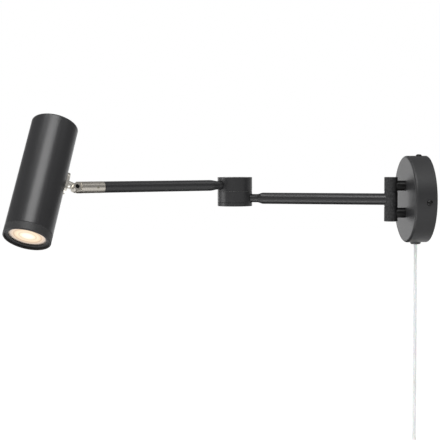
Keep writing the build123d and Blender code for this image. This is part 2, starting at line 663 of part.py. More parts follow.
def front_ring():
    """Thin front rim with a lip inside it that holds the lamp, and a spigot into the tube."""
    front = -HEAD_BELOW
    top = front + RING_HEIGHT
    outside = HEAD_RADIUS - HEAD_WALL - PRESS_GAP
    inside = LAMP_RADIUS + LAMP_LIP_GAP
    opening = LAMP_RADIUS - RING_GRIP
    ring = turned([
        (HEAD_RADIUS - RING_WALL, front),
        (HEAD_RADIUS, front),
        (HEAD_RADIUS, top - SEAM_CHAMFER),
        (HEAD_RADIUS - SEAM_CHAMFER, top),
        (outside, top),
        (outside, top + RING_SPIGOT),
        (outside - RING_SPIGOT_WALL, top + RING_SPIGOT),
        (inside, top),
        (inside, LIP_BACK),
        (opening, LIP_BACK),
        (opening, LIP_FRONT),
        (HEAD_RADIUS - RING_WALL, LIP_FRONT),
    ])
    edge = ring.edges().group_by(Axis.Z)[0].sort_by(SortBy.RADIUS)[-1]
    return Pos(0, -HEAD_OFFSET, 0) * fillet(edge, RING_EDGE)


def lamp_housing():
    waist = LAMP_BACK - LAMP_BASE_LENGTH
    housing = turned([
        (0, LAMP_FACE + LENS_THICK),
        (LENS_RADIUS + PRESS_GAP, LAMP_FACE + LENS_THICK),
        (LENS_RADIUS + PRESS_GAP, LAMP_FACE),
        (LAMP_RADIUS, LAMP_FACE),
        (LAMP_RADIUS, LAMP_FACE + LAMP_RIM_HEIGHT),
        (LAMP_BASE_RADIUS, waist),
        (LAMP_BASE_RADIUS, LAMP_BACK),
        (0, LAMP_BACK),
    ])
    for side in (-LAMP_PIN_SPACING / 2, LAMP_PIN_SPACING / 2):
        hole = upright(LAMP_PIN_RADIUS + PRESS_GAP, LAMP_BACK - LAMP_PIN_LENGTH, LAMP_BACK, x=side)
        housing -= hole
    return Pos(0, -HEAD_OFFSET, 0) * housing


def lamp_lens():
    lens = upright(LENS_RADIUS, LAMP_FACE, LAMP_FACE + LENS_THICK)
    for index in range(1, LENS_RING_COUNT + 1):
        radius = LENS_RADIUS * index / (LENS_RING_COUNT + 1)
        groove = upright(radius, LAMP_FACE, LAMP_FACE + LENS_RING_DEPTH)
        groove -= upright(radius - LENS_RING_WIDTH, LAMP_FACE, LAMP_FACE + LENS_RING_DEPTH)
        lens -= groove
    return Pos(0, -HEAD_OFFSET, 0) * lens


def lamp_pins():
    pins = []
    tip = LAMP_BACK + LAMP_PIN_LENGTH
    for side in (-LAMP_PIN_SPACING / 2, LAMP_PIN_SPACING / 2):
        pin = upright(LAMP_PIN_RADIUS, LAMP_BACK - LAMP_PIN_LENGTH, tip, x=side)
        pin += upright(LAMP_PIN_HEAD_RADIUS, tip - LAMP_PIN_HEAD_LENGTH, tip, x=side)
        pins.append(Pos(0, -HEAD_OFFSET, 0) * pin)
    return pins


def lampholder():
    holder = upright(HOLDER_RADIUS, LAMP_BACK, HOLDER_TOP)
    for side in (-LAMP_PIN_SPACING / 2, LAMP_PIN_SPACING / 2):
        holder -= upright(HOLDER_SLOT_RADIUS, LAMP_BACK, LAMP_BACK + HOLDER_SLOT_DEPTH, x=side)
    hole_end = HOLDER_TOP - HOLDER_SCREW_LENGTH
    for side in (-HOLDER_SCREW_SPACING / 2, HOLDER_SCREW_SPACING / 2):
        holder -= upright(HOLDER_SCREW_RADIUS + PRESS_GAP, hole_end, HOLDER_TOP, x=side)
    return Pos(0, -HEAD_OFFSET, 0) * holder


def holder_bracket():
    face = HEAD_OFFSET - bracket_face()
    half = BRACKET_WIDTH / 2
    rise = block((-half, half), (-face - BRACKET_THICK, -face), (HOLDER_TOP, BRACKET_RISE))
    foot = (-HEAD_OFFSET - half, -face)
    reach = HOLDER_SCREW_SPACING / 2 + HOLDER_HEAD_RADIUS
    strap = block((-reach, reach), foot, (HOLDER_TOP, HOLDER_TOP + BRACKET_THICK))
    strap &= head_bar(bracket_face(), HOLDER_TOP, HOLDER_TOP + BRACKET_THICK)
    bracket = rise + strap - along_y(TONGUE_STUD_RADIUS + CLEAR_GAP, 0, -HEAD_OFFSET)
    for side in (-HOLDER_SCREW_SPACING / 2, HOLDER_SCREW_SPACING / 2):
        hole = upright(HOLDER_SCREW_RADIUS + CLEAR_GAP, HOLDER_TOP, HOLDER_TOP + BRACKET_THICK, x=side)
        bracket -= Pos(0, -HEAD_OFFSET, 0) * hole
    return bracket


def holder_screws():
    screws = []
    seat = HOLDER_TOP + BRACKET_THICK
    for side in (-HOLDER_SCREW_SPACING / 2, HOLDER_SCREW_SPACING / 2):
        screw = upright(HOLDER_HEAD_RADIUS, seat, seat + HOLDER_HEAD_HEIGHT, x=side)
        screw += upright(HOLDER_SCREW_RADIUS, HOLDER_TOP - HOLDER_SCREW_LENGTH, seat, x=side)
        screws.append(Pos(0, -HEAD_OFFSET, 0) * screw)
    return screws


# Cord, its spare coil and the plug

def coil_crossings():
    """Points where the coil crosses its own middle height, in turn: in, out, in and out again."""
    step = COIL_PITCH / 2
    distances = []
    for layer in range(COIL_LAYERS):
        last = layer == COIL_LAYERS - 1
        count = COIL_LAST_HALF_TURNS if last else COIL_HALF_TURNS_PER_LAYER
        inward = layer % 2 == 0
        for index in range(count + 1):
            shrink = index if inward else COIL_HALF_TURNS_PER_LAYER - index
            distances.append((COIL_RADIUS - step * shrink, layer))
    points = []
    for index, (distance, layer) in enumerate(distances):
        side = 1 if index % 2 == 0 else -1
        points.append(Vector(side * distance - COIL_RADIUS, CORD_Y - COIL_LAYER * layer, COIL_CENTRE_Z))
    return points


def coil_path():
    """Half turns from crossing to crossing, with a straight end of one cord diameter each way."""
    points = coil_crossings()
    straight = Vector(0, 0, 2 * CORD_RADIUS)
    edges = [Line(points[0] + straight, points[0])]
    heading = Vector(0, 0, -1)
    for start, end in zip(points, points[1:]):
        across = end - start
        edges.append(ThreePointArc(start, (start + end) / 2 + heading * (across.length / 2), end))
        heading = heading * -1
    edges.append(Line(points[-1], points[-1] - straight))
    return Wire(edges)


def least_self_gap(path, diameter):
    """Least clear distance between stretches of a tube that aren't neighbours along it."""
    points = [path @ (index / GAP_SAMPLES) for index in range(GAP_SAMPLES + 1)]
    skip = int(GAP_SAMPLES * GAP_NEIGHBOURS * diameter / path.length)
    gaps = []
    for first in range(0, GAP_SAMPLES + 1, GAP_STRIDE):
        for second in range(first + skip, GAP_SAMPLES + 1):
            gaps.append((points[first] - points[second]).length)
    return min(gaps) - diameter


def cord_coil():
    path = coil_path()
    section = Plane(origin=path @ 0, z_dir=path % 0) * Circle(CORD_RADIUS)
    print("coil length", round(path.length, 1), "least gap", round(least_self_gap(path, 2 * CORD_RADIUS), 2))
    return sweep(section, path=path)


def inner_lead():
    return upright(CORD_RADIUS, CANOPY_LOW - GLAND_PROUD, BLOCK_BOTTOM, y=CORD_Y)


def mains_cord():
    low = COIL_CENTRE_Z + 2 * CORD_RADIUS
    return upright(CORD_RADIUS, low, CANOPY_LOW - GLAND_PROUD, y=CORD_Y)


def coil_tie():
    """Band round the bundle of turns on the coil's far side."""
    points = coil_crossings()
    far = [point for point in points if point.X < -COIL_RADIUS]
    bow = TIE_WIDTH**2 / (8 * (COIL_RADIUS - COIL_HALF_TURNS_PER_LAYER * COIL_PITCH / 2))
    margin = CORD_RADIUS + TIE_GAP
    x = (min(point.X for point in far) - margin, max(point.X for point in far) + margin + bow)
    y = (min(point.Y for point in far) - margin, max(point.Y for point in far) + margin)
    z = (COIL_CENTRE_Z - TIE_WIDTH / 2, COIL_CENTRE_Z + TIE_WIDTH / 2)
    outer = block((x[0] - TIE_THICK, x[1] + TIE_THICK), (y[0] - TIE_THICK, y[1] + TIE_THICK), z)
    outer = fillet(outer.edges().filter_by(Axis.Z), CORD_RADIUS)
    return outer - block(x, y, z)


def tail_top():
    return coil_crossings()[-1] - Vector(0, 0, 2 * CORD_RADIUS)


def cord_tail():
    top = tail_top()
    return rod(CORD_RADIUS, top, top - Vector(0, 0, TAIL_LENGTH))


def plug_place():
    return Location(tail_top() - Vector(0, 0, TAIL_LENGTH))


def plug_body():
    """Flat two-pin plug, pins down, with a tapered boot round the cord."""
    top = -PLUG_BOOT_LENGTH
    low = top - PLUG_LENGTH
    waist = top - PLUG_SHOULDER
    boot_plane = Plane((0, 0, top))
    boot = Solid.make_cone(PLUG_BOOT_RADIUS + CORD_RADIUS, PLUG_BOOT_RADIUS, PLUG_BOOT_LENGTH, boot_plane)
    narrow = boot_plane * Rectangle(2 * PLUG_BOOT_RADIUS + PLUG_EDGE, PLUG_THICK - PLUG_EDGE)
    wide = Plane((0, 0, waist)) * Rectangle(PLUG_WIDTH, PLUG_THICK)
    outline = Plane((0, 0, low)) * RectangleRounded(PLUG_WIDTH, PLUG_THICK, PLUG_EDGE)
    shoulder = loft([narrow, wide]) & extrude(outline, PLUG_LENGTH)
    body = extrude(outline, waist - low) + shoulder + boot
    for side in (-PLUG_PIN_SPACING / 2, PLUG_PIN_SPACING / 2):
        body -= upright(PLUG_PIN_ROOT_RADIUS + PRESS_GAP, low, low + PLUG_PIN_ROOT, x=side)
    return plug_place() * body


def plug_pins():
    """Round pins, each with a thinner root in the plug."""
    pins = []
    low = -PLUG_BOOT_LENGTH - PLUG_LENGTH
    for side in (-PLUG_PIN_SPACING / 2, PLUG_PIN_SPACING / 2):
        pin = upright(PLUG_PIN_RADIUS, low - PLUG_PIN_LENGTH, low, x=side)
        pin += upright(PLUG_PIN_ROOT_RADIUS, low, low + PLUG_PIN_ROOT, x=side)
        pins.append(plug_place() * pin)
    return pins


PIECES = {
    "canopy": (WALL_FRAME, canopy()),
    "wall_plate": (WALL_FRAME, wall_plate()),
    "canopy_screws": (WALL_FRAME, canopy_screws()),
    "upper_knuckle": (WALL_FRAME, fixed_knuckle(1)),
    "lower_knuckle": (WALL_FRAME, fixed_knuckle(-1)),
    "standoff_screws": (WALL_FRAME, standoff_screws()),
    "hinge_pin": (WALL_FRAME, hinge_pin()),
    "hinge_washers": (WALL_FRAME, hinge_washers()),
    "cord_gland": (WALL_FRAME, cord_gland()),
    "gland_nut": (WALL_FRAME, gland_nut()),
    "terminal_block": (WALL_FRAME, terminal_block()),
    "terminal_screws": (WALL_FRAME, terminal_screws()),
    "inner_lead": (WALL_FRAME, inner_lead()),
    "mains_cord": (WALL_FRAME, mains_cord()),
    "cord_coil": (WALL_FRAME, cord_coil()),
    "coil_tie": (WALL_FRAME, coil_tie()),
    "cord_tail": (WALL_FRAME, cord_tail()),
    "plug_body": (WALL_FRAME, plug_body()),
    "plug_pins": (WALL_FRAME, plug_pins()),
    "middle_knuckle": (INNER_FRAME, middle_knuckle()),
    "inner_arm_tube": (INNER_FRAME, inner_arm_tube()),
    "inner_arm_neck": (INNER_FRAME, inner_arm_neck()),
    "lower_drum": (INNER_FRAME, lower_drum()),
    "lower_drum_cap": (INNER_FRAME, lower_drum_cap()),
    "elbow_pivot": (INNER_FRAME, elbow_pivot()),
    "seam_washer": (INNER_FRAME, seam_washer()),
    "pivot_washer": (INNER_FRAME, pivot_washer()),
    "pivot_nut": (INNER_FRAME, pivot_nut()),
    "upper_drum": (OUTER_FRAME, upper_drum()),
    "upper_drum_cap": (OUTER_FRAME, upper_drum_cap()),
    "outer_arm_neck": (OUTER_FRAME, outer_arm_neck()),
    "outer_arm_tube": (OUTER_FRAME, outer_arm_tube()),
    "swivel_spigot": (OUTER_FRAME, swivel_spigot()),
    "swivel_sleeve": (SWIVEL_FRAME, swivel_sleeve()),
    "sleeve_set_screw": (SWIVEL_FRAME, sleeve_set_screw()),
    "tilt_screw": (SWIVEL_FRAME, tilt_screw()),
    "tilt_nut": (SWIVEL_FRAME, tilt_nut()),
    "knuckle_tongue": (HEAD_FRAME, knuckle_tongue()),
    "tongue_nut": (HEAD_FRAME, tongue_nut()),
    "head_tube": (HEAD_FRAME, head_tube()),
    "front_ring": (HEAD_FRAME, front_ring()),
    "lamp_housing": (HEAD_FRAME, lamp_housing()),
    "lamp_lens": (HEAD_FRAME, lamp_lens()),
    "lamp_pins": (HEAD_FRAME, lamp_pins()),
    "lampholder": (HEAD_FRAME, lampholder()),
    "holder_bracket": (HEAD_FRAME, holder_bracket()),
    "holder_screws": (HEAD_FRAME, holder_screws()),
}

os.makedirs("parts", exist_ok=True)
for name, (frame, shape) in PIECES.items():
    solids = shape if isinstance(shape, list) else [shape]
    export_step(Compound([frame * solid for solid in solids]), f"parts/{name}.step")
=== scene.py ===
import json
import math

import bmesh
import bpy
from mathutils import Matrix, Vector


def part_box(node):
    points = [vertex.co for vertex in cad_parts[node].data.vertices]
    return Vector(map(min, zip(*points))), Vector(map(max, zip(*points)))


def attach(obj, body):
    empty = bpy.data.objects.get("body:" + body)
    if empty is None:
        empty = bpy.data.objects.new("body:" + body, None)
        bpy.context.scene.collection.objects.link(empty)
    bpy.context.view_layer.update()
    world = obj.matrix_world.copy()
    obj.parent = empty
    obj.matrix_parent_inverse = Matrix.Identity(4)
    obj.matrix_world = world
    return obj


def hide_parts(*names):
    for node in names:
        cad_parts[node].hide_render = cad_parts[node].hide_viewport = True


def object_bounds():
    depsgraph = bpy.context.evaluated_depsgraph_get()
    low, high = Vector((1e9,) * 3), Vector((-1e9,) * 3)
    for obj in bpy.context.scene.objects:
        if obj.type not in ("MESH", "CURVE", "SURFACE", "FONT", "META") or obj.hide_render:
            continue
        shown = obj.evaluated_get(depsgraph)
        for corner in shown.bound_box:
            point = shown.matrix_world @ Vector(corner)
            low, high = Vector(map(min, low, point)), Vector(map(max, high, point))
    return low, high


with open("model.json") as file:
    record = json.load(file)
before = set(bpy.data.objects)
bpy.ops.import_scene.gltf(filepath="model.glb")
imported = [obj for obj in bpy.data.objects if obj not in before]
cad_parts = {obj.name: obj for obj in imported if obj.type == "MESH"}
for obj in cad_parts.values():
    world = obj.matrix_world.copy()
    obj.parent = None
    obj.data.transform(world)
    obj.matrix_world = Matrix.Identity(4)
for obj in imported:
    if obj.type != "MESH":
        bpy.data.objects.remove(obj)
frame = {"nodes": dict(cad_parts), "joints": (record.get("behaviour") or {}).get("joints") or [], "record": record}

CAD_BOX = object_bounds()
NODES = frame["nodes"]
JOINTS = {joint["name"]: joint for joint in frame["joints"]}
WHITE = (1, 1, 1, 1)


def greys(dark, light):
    """Dark and light colour from their two grey values."""
    return (dark, dark, dark), (light, light, light)


# Camera, fitted to the photograph's 440 by 440 frame
FRAME_PIXELS = 440
FOCAL_PIXELS = 1100.0
SENSOR_WIDTH = 36.0
CAMERA_AZIMUTH = 84.5
CAMERA_ELEVATION = 3.0
CAMERA_ROLL = -0.15
SEAM_PIXEL = (234.8, 191.0)
SEAM_HEIGHT = 0.0097
SEAM_DEPTH = 1.525

# Room: an even light, white where seen, and reflections that dim towards the camera's side
ROOM_LIGHT = 0.55
ROOM_SEEN = 1.0
ROOM_GLOSS = (1.0, 0.22)
ROOM_GLOSS_SQUASH = 2.2
ROOM_GLOSS_TURN = (0.3, 0.95)

# Floor: pale and matt, with a lift to white that grows with the distance from the lamp
FLOOR_DROP = 0.5
FLOOR_SIZE = 30.0
FLOOR_GREYS = (0.69, 0.71)
FLOOR_ROUGHNESS = 0.9
FLOOR_LIFT = (0.05, 0.65)
FLOOR_LIFT_REACH = (0.4, 1.6)

# Soft lamps: direction from the elbow's seam as (back, right, up), distance, size and radiance
LAMPS = {
    "key": ((0.68, -0.01, 0.73), 1.7, (1.1, 0.65), 8.4),
    "top_left": ((0.08, -0.46, 0.88), 1.4, (1.0, 0.5), 4.2),
    "top_right": ((0.02, 0.64, 0.77), 1.4, (0.8, 0.5), 1.5),
    "left": ((0.12, -0.99, 0.05), 1.9, (1.1, 0.8), 2.8),
    "kicker": ((-1.0, -0.32, -0.01), 1.4, (0.9, 0.6), 1.0),
    "low_left": ((0.48, -0.28, -0.83), 0.62, (0.6, 0.18), 3.4),
}

# Dark flag below and behind, seen only in reflections: direction as (back, right, up), distance and size
FLAG_TOWARD = (-0.55, -0.07, -0.83)
FLAG_DISTANCE = 0.6
FLAG_SIZE = (0.64, 0.95)
FLAG_GREYS = (0.008, 0.012)
FLAG_ROUGHNESS = 1.0

# Cord, in metres
CORD_RADIUS = 0.00225
CORD_Y = -0.0128
CORD_EXIT_Z = -0.0601
COIL_RADIUS = 0.031
COIL_PITCH = 0.0058
COIL_LAYER = 0.0058
COIL_CENTRE_Z = -0.37325
COIL_LAYERS = 4
COIL_HALF_TURNS = 4
COIL_LAST_HALF_TURNS = 3
COIL_POINTS_PER_HALF_TURN = 8
COIL_ENTRY_RUN = 6 * CORD_RADIUS
COIL_EXIT_RUN = 2 * CORD_RADIUS
TAIL_LENGTH = 0.0345
CORD_CURVE_ORDER = 3
CORD_CURVE_STEPS = 4
CORD_BEVEL_STEPS = 5

# Button-head screws on the canopy's side; the dome's rings are shares of the head's radius and height
SCREW_SETBACK = 0.010
SCREW_SEAT = 0.0575
SCREW_HEAD_RADIUS = 0.0039
SCREW_HEAD_HEIGHT = 0.002
SCREW_DOME = ((1.0, 0.0), (1.0, 0.1), (0.96, 0.4), (0.84, 0.7), (0.66, 0.92), (0.5, 1.0))
SCREW_SHANK_RADIUS = 0.0017
SCREW_SHANK_LENGTH = 0.005
SCREW_SOCKET_FLATS = 0.0022
SCREW_SOCKET_DEPTH = 0.0012
SCREW_STEPS = 48
SCREW_SHARP_DEGREES = 35
SCREW_TURN = -3.3
SCREW_ANGLES = (SCREW_TURN, 90 + SCREW_TURN, 180 + SCREW_TURN)

# Noise: its detail, the share of its range that roughness and colour use, and the scale on stage surfaces
NOISE_DETAIL = 3.0
ROUGHNESS_BAND = (0.3, 0.7)
COLOUR_BAND = (0.35, 0.65)
STAGE_GRAIN = 3.0

# Position at which a colour ramp gets a new stop, before the stop is moved to its place
NEW_STOP = 0.5

# Relief of each kind of finish, as the bump's depth in metres and its strength
COAT_RELIEF = (0.00004, 0.35)
FINE_RELIEF = (0.00002, 0.2)
BARREL_RELIEF = (0.0005, 0.8)
PLATE_RELIEF = (0.00002, 0.1)
MOULD_RELIEF = (0.00003, 0.2)
CORD_RELIEF = (0.00004, 0.2)

# Hinge barrel with its speckled coat, and the smooth pegs behind it, with painted shade that darkens the barrel's
# back and the pegs towards the canopy
BARREL_BACK = -0.0376
BARREL_GRAIN = 480
BARREL_COLOURS = ((0.003, 0.003, 0.003), (0.030, 0.030, 0.031))
BARREL_ROUGHNESS = (0.5, 0.7)
PEG_AND_SHADE_BLEND = 0.006
PEG_ROUGHNESS = 0.3
# painted shade: the grey that the barrel's back and the pegs darken to
PEG_SHADE_TONE = 0.3

# Cord sheath
CORD_GRAIN = 400
CORD_COLOURS = ((0.76, 0.77, 0.77), (0.84, 0.85, 0.85))
CORD_ROUGHNESS = (0.3, 0.42)
CORD_CLEARNESS = 0.6
CORD_IOR = 1.2
CORD_MILKINESS = 0.25
CORD_MILK_DEPTH = 0.002

# Lit lens: colours from its middle, at shares of its radius
LENS_RADIUS = 0.0218
LENS_BODY = (0.05, 0.045, 0.04)
LENS_ROUGHNESS = 0.3
LENS_GLOW = 1.0
LENS_STOPS = (
    (0.0, (1.0, 0.98, 0.86)),
    (0.26, (1.0, 0.97, 0.82)),
    (0.42, (0.95, 0.80, 0.58)),
    (0.49, (0.72, 0.56, 0.40)),
    (0.55, (0.94, 0.78, 0.56)),
    (0.72, (0.86, 0.66, 0.45)),
    (0.79, (0.56, 0.41, 0.29)),
    (0.86, (0.80, 0.62, 0.46)),
    (0.95, (0.58, 0.46, 0.37)),
    (1.0, (0.66, 0.56, 0.48)),
)

# Coats: dark and light colour, roughness range, and what departs from the plain coat
COAT_GRAIN = 1500
COAT_SPECULAR = 0.42
COAT_COLOURS = ((0.016, 0.016, 0.017), (0.024, 0.024, 0.025))
# front ring: a lighter copy of the coat's colours, painted light that lifts the ring's shaded faces
RING_PAINTED_LIGHT_COLOURS = ((0.026, 0.026, 0.027), (0.034, 0.034, 0.035))
COATS = {
    "black_coat": dict(colours=COAT_COLOURS, roughness=(0.30, 0.37)),
    "canopy_coat": dict(colours=COAT_COLOURS, roughness=(0.42, 0.50)),
    "ring_coat": dict(colours=RING_PAINTED_LIGHT_COLOURS, roughness=(0.44, 0.52), specular=0.3),
    "black_oxide": dict(colours=greys(0.002, 0.005), roughness=(0.14, 0.20), specular=0.3,
                        grain=2500, relief=FINE_RELIEF),
    "seam_finish": dict(colours=greys(0.15, 0.19), roughness=(0.4, 0.5), relief=FINE_RELIEF),
}

# Plated metals: dark and light colour, roughness range, and the stretch of the turning marks
PLATE_GRAIN = 900
PLATE_DETAIL = 4.0
PLATE_STRETCH = (1, 1, 12)
NICKEL_METALLIC = 0.84
PLATINGS = {
    "nickel": dict(colours=((0.42, 0.395, 0.35), (0.52, 0.49, 0.44)), roughness=(0.25, 0.33),
                   metallic=NICKEL_METALLIC),
    # tongue: a lighter copy of the nickel, a painted highlight on the tongue
    "tongue_nickel": dict(colours=((0.56, 0.535, 0.48), (0.68, 0.65, 0.59)), roughness=(0.25, 0.33),
                          metallic=NICKEL_METALLIC),
    "set_screw_nickel": dict(colours=((0.34, 0.33, 0.27), (0.42, 0.40, 0.34)), roughness=(0.42, 0.52)),
    "steel": dict(colours=((0.50, 0.50, 0.50), (0.62, 0.62, 0.61)), roughness=(0.3, 0.42), stretch=(1, 6, 1)),
    "plated_brass": dict(colours=((0.66, 0.62, 0.52), (0.76, 0.72, 0.62)), roughness=(0.2, 0.3),
                         stretch=(1, 1, 8)),
}

# Plastics and ceramic: dark and light colour, roughness range, and a grain that departs from the usual
MOULD_GRAIN = 900
MOULDINGS = {
    "black_plastic": dict(colours=greys(0.012, 0.02), roughness=(0.4, 0.52), grain=1200),
    "gland_plastic": dict(colours=greys(0.055, 0.07), roughness=(0.4, 0.5), grain=1200),
    "white_plastic": dict(colours=((0.76, 0.76, 0.74), (0.82, 0.82, 0.80)), roughness=(0.28, 0.38)),
    "housing_plastic": dict(colours=((0.40, 0.34, 0.29), (0.48, 0.41, 0.35)), roughness=(0.4, 0.5)),
    "plug_plastic": dict(colours=((0.58, 0.58, 0.57), (0.64, 0.64, 0.63)), roughness=(0.28, 0.38)),
    "holder_ceramic": dict(colours=((0.74, 0.72, 0.66), (0.82, 0.80, 0.74)), roughness=(0.6, 0.75),
                           grain=700),
}

# Nodes whose finish departs from their slot's
NODE_FINISHES = {
    "canopy": "canopy_coat",
    "cord_gland": "gland_plastic",
    "front_ring": "ring_coat",
    "knuckle_tongue": "tongue_nickel",
    "lamp_housing": "housing_plastic",
    "plug_body": "plug_plastic",
    "seam_washer": "seam_finish",
    "sleeve_set_screw": "set_screw_nickel",
}


# Shader helpers

def new_material(name):
    """Material with a node tree, its Principled shader and its object coordinates."""
    material = bpy.data.materials.new(name)
    material.use_nodes = True
    tree = material.node_tree
    shader = tree.nodes["Principled BSDF"]
    coordinates = tree.nodes.new("ShaderNodeTexCoord")
    return material, tree, shader, coordinates.outputs["Object"]


def noise(tree, coordinates, scale, detail=NOISE_DETAIL):
    texture = tree.nodes.new("ShaderNodeTexNoise")
    texture.inputs["Scale"].default_value = scale
    texture.inputs["Detail"].default_value = detail
    tree.links.new(coordinates, texture.inputs["Vector"])
    return texture.outputs["Fac"]


def map_range(tree, value, from_range, to_range=(0.0, 1.0), smooth=False):
    """Maps a value from one range to another, whose ends are numbers or sockets."""
    node = tree.nodes.new("ShaderNodeMapRange")
    if smooth:
        node.interpolation_type = "SMOOTHSTEP"
    tree.links.new(value, node.inputs["Value"])
    for name, end in zip(("From Min", "From Max", "To Min", "To Max"), (*from_range, *to_range)):
        if isinstance(end, bpy.types.NodeSocket):
            tree.links.new(end, node.inputs[name])
        else:
            node.inputs[name].default_value = end
    return node.outputs["Result"]


def blend_values(tree, share, low, high):
    """Value between two, each a number or a socket."""
    return map_range(tree, share, (0.0, 1.0), (low, high))


def distance_from(tree, vector, point):
    node = tree.nodes.new("ShaderNodeVectorMath")
    node.operation = "DISTANCE"
    node.inputs[1].default_value = point
    tree.links.new(vector, node.inputs[0])
    return node.outputs["Value"]


def stretched(tree, vector, scale):
    node = tree.nodes.new("ShaderNodeMapping")
    node.inputs["Scale"].default_value = scale
    tree.links.new(vector, node.inputs["Vector"])
    return node.outputs["Vector"]


def larger(tree, first, second):
    node = tree.nodes.new("ShaderNodeMath")
    node.operation = "MAXIMUM"
    tree.links.new(first, node.inputs[0])
    tree.links.new(second, node.inputs[1])
    return node.outputs[0]


def colour_ramp(tree, value, stops):
    """Colour that runs through stops, each a position and a colour."""
    node = tree.nodes.new("ShaderNodeValToRGB")
    elements = node.color_ramp.elements
    while len(elements) < len(stops):
        elements.new(NEW_STOP)
    for element, (position, colour) in zip(elements, stops):
        element.position = position
        element.color = (*colour, 1)
    tree.links.new(value, node.inputs["Fac"])
    return node.outputs["Color"]


def two_colours(tree, value, colours):
    return colour_ramp(tree, value, tuple(zip(COLOUR_BAND, colours)))


def bump(tree, shader, height, relief):
    node = tree.nodes.new("ShaderNodeBump")
    depth, strength = relief
    node.inputs["Distance"].default_value = depth
    node.inputs["Strength"].default_value = strength
    tree.links.new(height, node.inputs["Height"])
    tree.links.new(node.outputs["Normal"], shader.inputs["Normal"])


def mottle(tree, shader, pattern, colours, roughness, relief):
    """Lets one pattern drive a finish's colour, roughness and relief."""
    tree.links.new(two_colours(tree, pattern, colours), shader.inputs["Base Color"])
    tree.links.new(map_range(tree, pattern, ROUGHNESS_BAND, roughness), shader.inputs["Roughness"])
    bump(tree, shader, pattern, relief)


# Materials

def coated(name, colours, roughness, specular=COAT_SPECULAR, grain=COAT_GRAIN, relief=COAT_RELIEF):
    """Mottled coat with an orange-peel bump."""
    material, tree, shader, coordinates = new_material(name)
    shader.inputs["Specular IOR Level"].default_value = specular
    mottle(tree, shader, noise(tree, coordinates, grain), colours, roughness, relief)
    return material


def plated(name, colours, roughness, stretch=PLATE_STRETCH, metallic=1.0):
    """Plated metal with fine turning marks."""
    material, tree, shader, coordinates = new_material(name)
    shader.inputs["Metallic"].default_value = metallic
    marks = noise(tree, stretched(tree, coordinates, stretch), PLATE_GRAIN, PLATE_DETAIL)
    mottle(tree, shader, marks, colours, roughness, PLATE_RELIEF)
    return material


def moulded(name, colours, roughness, grain=MOULD_GRAIN):
    """Moulded plastic or ceramic with a faint grain."""
    material, tree, shader, coordinates = new_material(name)
    mottle(tree, shader, noise(tree, coordinates, grain), colours, roughness, MOULD_RELIEF)
    return material


def textured_coat(name):
    """Coarse speckled coat on the hinge barrel, smooth on the pegs behind it; painted shade darkens the barrel's
    back and the pegs towards the canopy.
    """
    material, tree, shader, coordinates = new_material(name)
    shader.inputs["Specular IOR Level"].default_value = COAT_SPECULAR
    split = tree.nodes.new("ShaderNodeSeparateXYZ")
    tree.links.new(coordinates, split.inputs["Vector"])
    # Mask towards the canopy: smooth pegs, and painted shade on them and on the barrel's back
    peg_and_back_shade = map_range(tree, split.outputs["Y"], (BARREL_BACK - PEG_AND_SHADE_BLEND, BARREL_BACK))
    speck = noise(tree, coordinates, BARREL_GRAIN)
    rough = map_range(tree, speck, ROUGHNESS_BAND, BARREL_ROUGHNESS)
    tree.links.new(blend_values(tree, peg_and_back_shade, rough, PEG_ROUGHNESS), shader.inputs["Roughness"])
    speck_and_painted_shade = blend_values(tree, peg_and_back_shade, speck, PEG_SHADE_TONE)
    tree.links.new(two_colours(tree, speck_and_painted_shade, BARREL_COLOURS), shader.inputs["Base Color"])
    bump(tree, shader, speck_and_painted_shade, BARREL_RELIEF)
    return material


def pale_cord(name):
    """Pale, milky and slightly clear cord sheath."""
    material, tree, shader, coordinates = new_material(name)
    haze = noise(tree, coordinates, CORD_GRAIN)
    mottle(tree, shader, haze, CORD_COLOURS, CORD_ROUGHNESS, CORD_RELIEF)
    shader.inputs["Transmission Weight"].default_value = CORD_CLEARNESS
    shader.inputs["IOR"].default_value = CORD_IOR
    shader.inputs["Subsurface Weight"].default_value = CORD_MILKINESS
    shader.inputs["Subsurface Scale"].default_value = CORD_MILK_DEPTH
    return material


def lit_lens(name):
    """Warm lit lens: bright middle, peach rim and the rings of its optic."""
    material, tree, shader, coordinates = new_material(name)
    low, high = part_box("lamp_lens")
    share = map_range(tree, distance_from(tree, coordinates, (low + high) / 2), (0.0, LENS_RADIUS))
    tree.links.new(colour_ramp(tree, share, LENS_STOPS), shader.inputs["Emission Color"])
    shader.inputs["Emission Strength"].default_value = LENS_GLOW
    shader.inputs["Base Color"].default_value = (*LENS_BODY, 1)
    shader.inputs["Roughness"].default_value = LENS_ROUGHNESS
    return material


def make_materials():
    """All finishes by name; a slot's finish has the slot's name."""
    materials = {}
    for maker, finishes in ((coated, COATS), (plated, PLATINGS), (moulded, MOULDINGS)):
        for name, finish in finishes.items():
            materials[name] = maker(name, **finish)
    for name, maker in (("textured_coat", textured_coat), ("pale_cord", pale_cord), ("lit_lens", lit_lens)):
        materials[name] = maker(name)
    return materials


MATERIALS = make_materials()


def dress_nodes():
    for part in frame["record"]["subparts"]:
        finish = NODE_FINISHES.get(part["node"], part["material_slot"])
        mesh = NODES[part["node"]].data
        mesh.materials.clear()
        mesh.materials.append(MATERIALS[finish])


# Pieces

def add_object(name, data):
    item = bpy.data.objects.new(name, data)
    bpy.context.scene.collection.objects.link(item)
    return item


def add_piece(name, mesh_or_curve, body, slot):
    piece = add_object(name, mesh_or_curve)
    piece.data.materials.append(MATERIALS[slot])
    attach(piece, body)
    return piece


def coil_crossings():
    """Points where the coil crosses its own middle height, layer by layer."""
    step = COIL_PITCH / 2
    points = []
    for layer in range(COIL_LAYERS):
        last = layer == COIL_LAYERS - 1
        count = COIL_LAST_HALF_TURNS if last else COIL_HALF_TURNS
        for index in range(count + 1):
            shrink = index if layer % 2 == 0 else COIL_HALF_TURNS - index
            side = 1 if len(points) % 2 == 0 else -1
            x = side * (COIL_RADIUS - step * shrink) - COIL_RADIUS
            points.append(Vector((x, CORD_Y - COIL_LAYER * layer, COIL_CENTRE_Z)))
    return points


